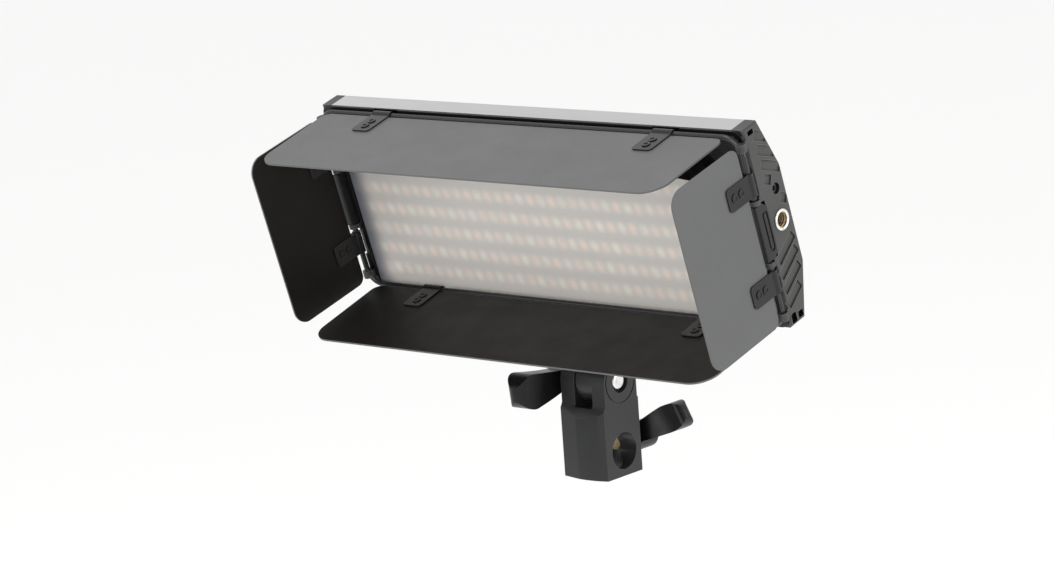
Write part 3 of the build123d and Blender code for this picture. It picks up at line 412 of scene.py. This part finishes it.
def glowing(name, color, strength):
    """Backlit liquid-crystal segments, uneven like a light guide."""
    made = Finish(name, shade(color, 0.4), 0.4, Emission_Strength=strength)
    uneven = made.spread(made.noise(5 * MM), 0.0, 1.0)
    made.plug(made.shader.inputs["Emission Color"], made.blend(uneven, shade(color, 0.8), color))
    return made


SEGMENT_LIGHT = glowing("display_segments", (0.55, 0.80, 1.0), 0.9)
SEGMENT_REST = moulded("display_field", (0.010, 0.014, 0.019), 0.32, 0.7 * MM, 0.002 * MM)


def dress_nodes():
    """Give every CAD node its finish, and each door its own, with painted shade on its inner side."""
    doors = {f"door_{side}": f"door_{side}_hinge" for side in SIDES}
    for name, node in NODES.items():
        if name in doors:
            inward = (HEAD_ORIGIN - joint_place(doors[name])).normalized()
            node.data.materials[0] = door_coat_with_inner_shade(f"{name}_coat", inward).material
        else:
            node.data.materials[0] = FINISHES[node.data.materials[0].name].material


# ---- edges: real castings, sheet and mouldings have small radii ----
EDGE_RADII = {
    "stand_bracket": 0.35,
    "tilt_head": 0.3,
    "end_cap_left": 0.22,
    "end_cap_right": 0.22,
    "housing_shell": 0.18,
    "front_bezel": 0.22,
    "rear_housing": 0.2,
    "battery_plate": 0.3,
    "battery_latch": 0.3,
    "power_switch": 0.25,
    "switch_frame": 0.2,
    "base_block": 0.3,
    "lock_ring": 0.25,
    "tilt_knob": 0.9,
    "clamp_knob": 0.7,
    "brightness_knob": 0.2,
    "colour_knob": 0.2,
}
EDGE_RADII.update({f"door_{side}": 0.22 for side in SIDES})
EDGE_RADII.update({f"door_{side}_hinges": 0.16 for side in SIDES})
EDGE_RADII.update({f"door_{side}_rivets": 0.14 for side in SIDES})
SHARP = radians(32)


def soften(node, radius):
    """Round a CAD node's sharp edges with modifiers that leave its mesh as packed."""
    weld = node.modifiers.new("weld", "WELD")
    weld.merge_threshold = 0.0005 * MM
    flat = node.modifiers.new("flat_faces", "DECIMATE")
    flat.decimate_type = "DISSOLVE"
    flat.angle_limit = radians(0.4)
    edge = node.modifiers.new("edge", "BEVEL")
    edge.width = radius * MM
    edge.segments = 3
    edge.limit_method = "ANGLE"
    edge.angle_limit = SHARP
    even = node.modifiers.new("even_normals", "WEIGHTED_NORMAL")
    even.weight = 90


# ---- small pieces ----
def piece(name, mesh, finish, body, place=HEAD):
    """A new object with its finish, riding on a CAD body."""
    made = bpy.data.objects.new(name, mesh)
    bpy.context.scene.collection.objects.link(made)
    mesh.materials.append(finish.material)
    made.matrix_world = place
    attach(made, body)
    return made


def mesh_of(name, vertices, faces, smooth=True):
    """A mesh whose faces all look outwards."""
    mesh = bpy.data.meshes.new(name)
    mesh.from_pydata([tuple(v) for v in vertices], [], faces)
    mesh.update()
    shell = bmesh.new()
    shell.from_mesh(mesh)
    bmesh.ops.recalc_face_normals(shell, faces=shell.faces)
    shell.to_mesh(mesh)
    shell.free()
    for face in mesh.polygons:
        face.use_smooth = smooth
    return mesh


def lathe(name, profile, turns=64):
    """A ring: a closed outline of (radius, height) turned about Z."""
    vertices = []
    for step in range(turns):
        angle = tau * step / turns
        vertices += [(r * cos(angle), r * sin(angle), h) for r, h in profile]
    count = len(profile)
    faces = []
    for step in range(turns):
        here, there = step * count, (step + 1) % turns * count
        for k in range(count):
            after = (k + 1) % count
            faces.append((here + k, there + k, there + after, here + after))
    return mesh_of(name, vertices, faces)


def round_rim(inner, outer, height, steps=6):
    """The outline of a ring whose outer face is rounded."""
    half = (outer - inner) / 2
    crown = [
        ((inner + half) - half * cos(pi * k / steps), height * 0.35 + height * 0.65 * sin(pi * k / steps))
        for k in range(steps + 1)
    ]
    return [(inner, 0), *crown, (outer, 0)]


def thread(name, radius, depth, pitch, length, per_turn=48):
    """An inner thread: one closed ridge that winds along Z."""
    count = int(length / pitch * per_turn)
    vertices = []
    for step in range(count + 1):
        angle = tau * step / per_turn
        fade = min(1.0, step / per_turn * 2, (count - step) / per_turn * 2)
        crest = radius - depth * max(fade, 0.05)
        climb = length * step / count
        for r, lift in ((radius, -0.42), (crest, -0.08), (crest, 0.08), (radius, 0.42)):
            height = min(max(climb + lift * pitch, 0.0), length)
            vertices.append((r * cos(angle), r * sin(angle), height))
    faces = [(3, 2, 1, 0)]
    for step in range(count):
        for k in range(4):
            after = (k + 1) % 4
            faces.append((step * 4 + k, step * 4 + after, step * 4 + 4 + after, step * 4 + 4 + k))
    last = count * 4
    faces.append((last, last + 1, last + 2, last + 3))
    return mesh_of(name, vertices, faces)


def plaques(name, outlines, low, high):
    """Flat raised marks: each outline of (x, z) stands from depth low to depth high, with a soft edge."""
    vertices, faces = [], []
    for outline in outlines:
        start, count = len(vertices), len(outline)
        middle = sum((Vector(p) for p in outline), Vector((0, 0))) / count
        for depth, inset in ((low, 0.0), ((low + high) / 2, 0.0), (high, 0.12)):
            for point in outline:
                x, z = Vector(point).lerp(middle, inset * 0.3)
                vertices.append((x, depth, z))
        for ring in (0, 1):
            for k in range(count):
                after = (k + 1) % count
                here = start + ring * count
                faces.append((here + k, here + after, here + count + after, here + count + k))
        faces.append(tuple(range(start, start + count)))
        faces.append(tuple(range(start + 2 * count, start + 3 * count)))
    return mesh_of(name, vertices, faces, smooth=False)


def bar(x, z, wide, tall):
    """A rectangle's outline about its middle."""
    left, right, low, high = x - wide / 2, x + wide / 2, z - tall / 2, z + tall / 2
    return [(left, low), (right, low), (right, high), (left, high)]


def disc(x, z, radius, points=20):
    """A circle's outline."""
    return [(x + radius * cos(tau * k / points), z + radius * sin(tau * k / points)) for k in range(points)]


def spoke(x, z, near, far, angle, wide):
    """A short dash pointing away from (x, z)."""
    along = Vector((cos(angle), sin(angle)))
    across = Vector((-along.y, along.x)) * wide / 2
    start, end = Vector((x, z)) + along * near, Vector((x, z)) + along * far
    return [start - across, end - across, end + across, start + across]


def facing_x(x, y, z, side):
    """A place on the panel's side face whose local Z points outwards."""
    return HEAD @ Matrix.Translation((x, y, z)) @ Matrix.Rotation(side * pi / 2, 4, "Y")


def dress_inserts():
    """The cap inserts' rolled lips and their quarter-inch threads."""
    bore, pitch, depth = 3.2 * MM, 1.27 * MM, 0.5 * MM
    for side, word in ((1, "right"), (-1, "left")):
        low, high = head_box(f"side_insert_{word}")
        mouth = high.x if side > 0 else low.x
        middle = (low + high) / 2
        length = high.x - low.x
        lip = lathe(f"insert_lip_{word}", round_rim(bore, 4.6 * MM, 0.55 * MM))
        place = facing_x(mouth - side * 0.1 * MM, middle.y, middle.z, side)
        piece(f"insert_lip_{word}", lip, BRIGHT_RING, "head", place)
        ridge = thread(f"insert_thread_{word}", bore, depth, pitch, length - 0.2 * MM)
        inside = facing_x(mouth - side * length, middle.y, middle.z, side)
        piece(f"insert_thread_{word}", ridge, THREAD_BRASS, "head", inside)


def dress_jack():
    """A rolled collar round the power inlet."""
    low, high = head_box("power_jack")
    collar = lathe("jack_collar", round_rim(4.3 * MM, 5.6 * MM, 0.5 * MM))
    place = facing_x(high.x - 0.25 * MM, (low.y + high.y) / 2, (low.z + high.z) / 2, 1)
    piece("jack_collar", collar, FINISHES["control_plastic"], "head", place)


def dress_controls():
    """Printed dial ticks and the display's content on the back."""
    back = head_box("rear_housing")[1].y
    ticks = []
    for knob in ("brightness_knob", "colour_knob"):
        low, high = head_box(knob)
        middle = (low + high) / 2
        for step in range(11):
            angle = radians(-45 + 27 * step)
            far = 9.0 if step % 5 == 0 else 8.4
            ticks.append(spoke(middle.x, middle.z, 7.5 * MM, far * MM, angle, 0.35 * MM))
    print_marks = plaques("dial_ticks", ticks, back - 0.05 * MM, back + 0.05 * MM)
    piece("dial_ticks", print_marks, MARK_INK, "head")

    low, high = head_box("display_window")
    face = head_box("display_module")[1].y
    middle = (low + high) / 2
    screen = bar(middle.x, middle.z, 29 * MM, 14 * MM)
    field = plaques("display_field", [screen], face + 0.02 * MM, face + 0.08 * MM)
    piece("display_field", field, SEGMENT_REST, "head")
    marks = []
    for row, filled in ((0.62, 13), (-0.15, 8)):
        for step in range(16):
            x = middle.x + 8.6 * MM - step * 1.2 * MM
            tall = (2.6 if step < filled else 0.7) * MM
            marks.append(bar(x, middle.z + row * 6 * MM, 0.75 * MM, tall))
        marks.append(disc(middle.x + 12.0 * MM, middle.z + row * 6 * MM, 1.1 * MM))
    marks += [bar(middle.x + (9 - 5 * k) * MM, middle.z - 4.9 * MM, 3.4 * MM, 0.5 * MM) for k in range(4)]
    marks.append(bar(middle.x - 11.6 * MM, middle.z + 4.0 * MM, 3.6 * MM, 2.0 * MM))
    segments = plaques("display_segments", marks, face + 0.1 * MM, face + 0.14 * MM)
    piece("display_segments", segments, SEGMENT_LIGHT, "head")


def dress_battery_plate():
    """Moulded arrows that show which way a pack slides on."""
    low, high = head_box("battery_plate")
    middle = (low + high) / 2
    face = low.y + 2.0 * MM
    arrows = []
    for step in range(3):
        x = middle.x + (step * 5 - 3) * MM
        tail, point = (x + 1 * MM, middle.z), (x + 3 * MM, middle.z)
        arrows.append([(x, middle.z - 3 * MM), point, (x, middle.z + 3 * MM), tail])
    raised = plaques("slide_arrows", arrows, face, face + 0.25 * MM)
    piece("slide_arrows", raised, FINISHES["control_plastic"], "head")


# ---- stage ----
AZIMUTH, ELEVATION, ROLL = radians(41.80), radians(11.29), radians(-4.07)
LENS, SENSOR = 125.8, 36.0
AIM_RIGHT, AIM_UP, DISTANCE = -28.28 * MM, 83.34 * MM, 1603.96 * MM


def set_camera():
    """The camera stands in front, right of the panel, a little above it, with a slight roll."""
    back = Vector((sin(AZIMUTH) * cos(ELEVATION), -cos(AZIMUTH) * cos(ELEVATION), sin(ELEVATION)))
    right = Vector((cos(AZIMUTH), sin(AZIMUTH), 0))
    up = back.cross(right)
    level_right = right * cos(ROLL) + up * sin(ROLL)
    level_up = up * cos(ROLL) - right * sin(ROLL)
    aim = Vector((0, 0, AIM_UP)) + level_right * AIM_RIGHT
    turn = Matrix((level_right, level_up, back)).transposed().to_4x4()
    camera = bpy.data.objects.new("camera", bpy.data.cameras.new("camera"))
    camera.data.lens, camera.data.sensor_width = LENS, SENSOR
    camera.matrix_world = Matrix.Translation(aim + back * DISTANCE) @ turn
    bpy.context.scene.collection.objects.link(camera)
    bpy.context.scene.camera = camera


def softbox(name, place, aim, wide, tall, power):
    """A large area light that looks at a point."""
    light = bpy.data.lights.new(name, "AREA")
    light.shape, light.size, light.size_y, light.energy = "RECTANGLE", wide, tall, power
    made = bpy.data.objects.new(name, light)
    bpy.context.scene.collection.objects.link(made)
    way = Vector(aim) - Vector(place)
    made.matrix_world = Matrix.Translation(place) @ way.to_track_quat("-Z", "Y").to_matrix().to_4x4()


FLOOR_DROP = 0.55  # the stand that carries the panel isn't part of it
FLOOR_RADIUS = 9.0


def set_stage():
    """A pale floor well below the panel, soft surround light and three softboxes."""
    rim = [tau * k / 64 for k in range(64)]
    vertices = [(FLOOR_RADIUS * cos(angle), FLOOR_RADIUS * sin(angle), 0) for angle in rim]
    mesh = mesh_of("floor", vertices, [tuple(range(64))])
    floor = bpy.data.objects.new("floor", mesh)
    floor.location.z = cad_box[0].z - FLOOR_DROP
    bpy.context.scene.collection.objects.link(floor)
    paper = Finish("floor_paper", (0.93, 0.93, 0.925), 0.9)
    paper.relief(paper.noise(2 * MM, 2.0), 0.05 * MM)
    mesh.materials.append(paper.material)
    world = bpy.data.worlds.new("surround")
    world.use_nodes = True
    world.node_tree.nodes["Background"].inputs["Color"].default_value = (1.0, 1.0, 1.0, 1.0)
    world.node_tree.nodes["Background"].inputs["Strength"].default_value = 1.0
    bpy.context.scene.world = world
    bpy.context.scene.view_settings.view_transform = "Standard"
    softbox("key", (0.5, -1.7, 0.75), (0, 0, 0.1), 1.3, 1.0, 13)
    softbox("side", (1.9, 0.9, 0.5), (0, 0, 0.1), 1.0, 1.4, 16)
    softbox("top", (-0.25, -0.7, 1.5), (0, 0, 0.1), 0.7, 0.5, 6)


dress_nodes()
for node_name, edge_radius in EDGE_RADII.items():
    soften(NODES[node_name], edge_radius)
dress_inserts()
dress_jack()
dress_controls()
dress_battery_plate()
set_stage()
set_camera()
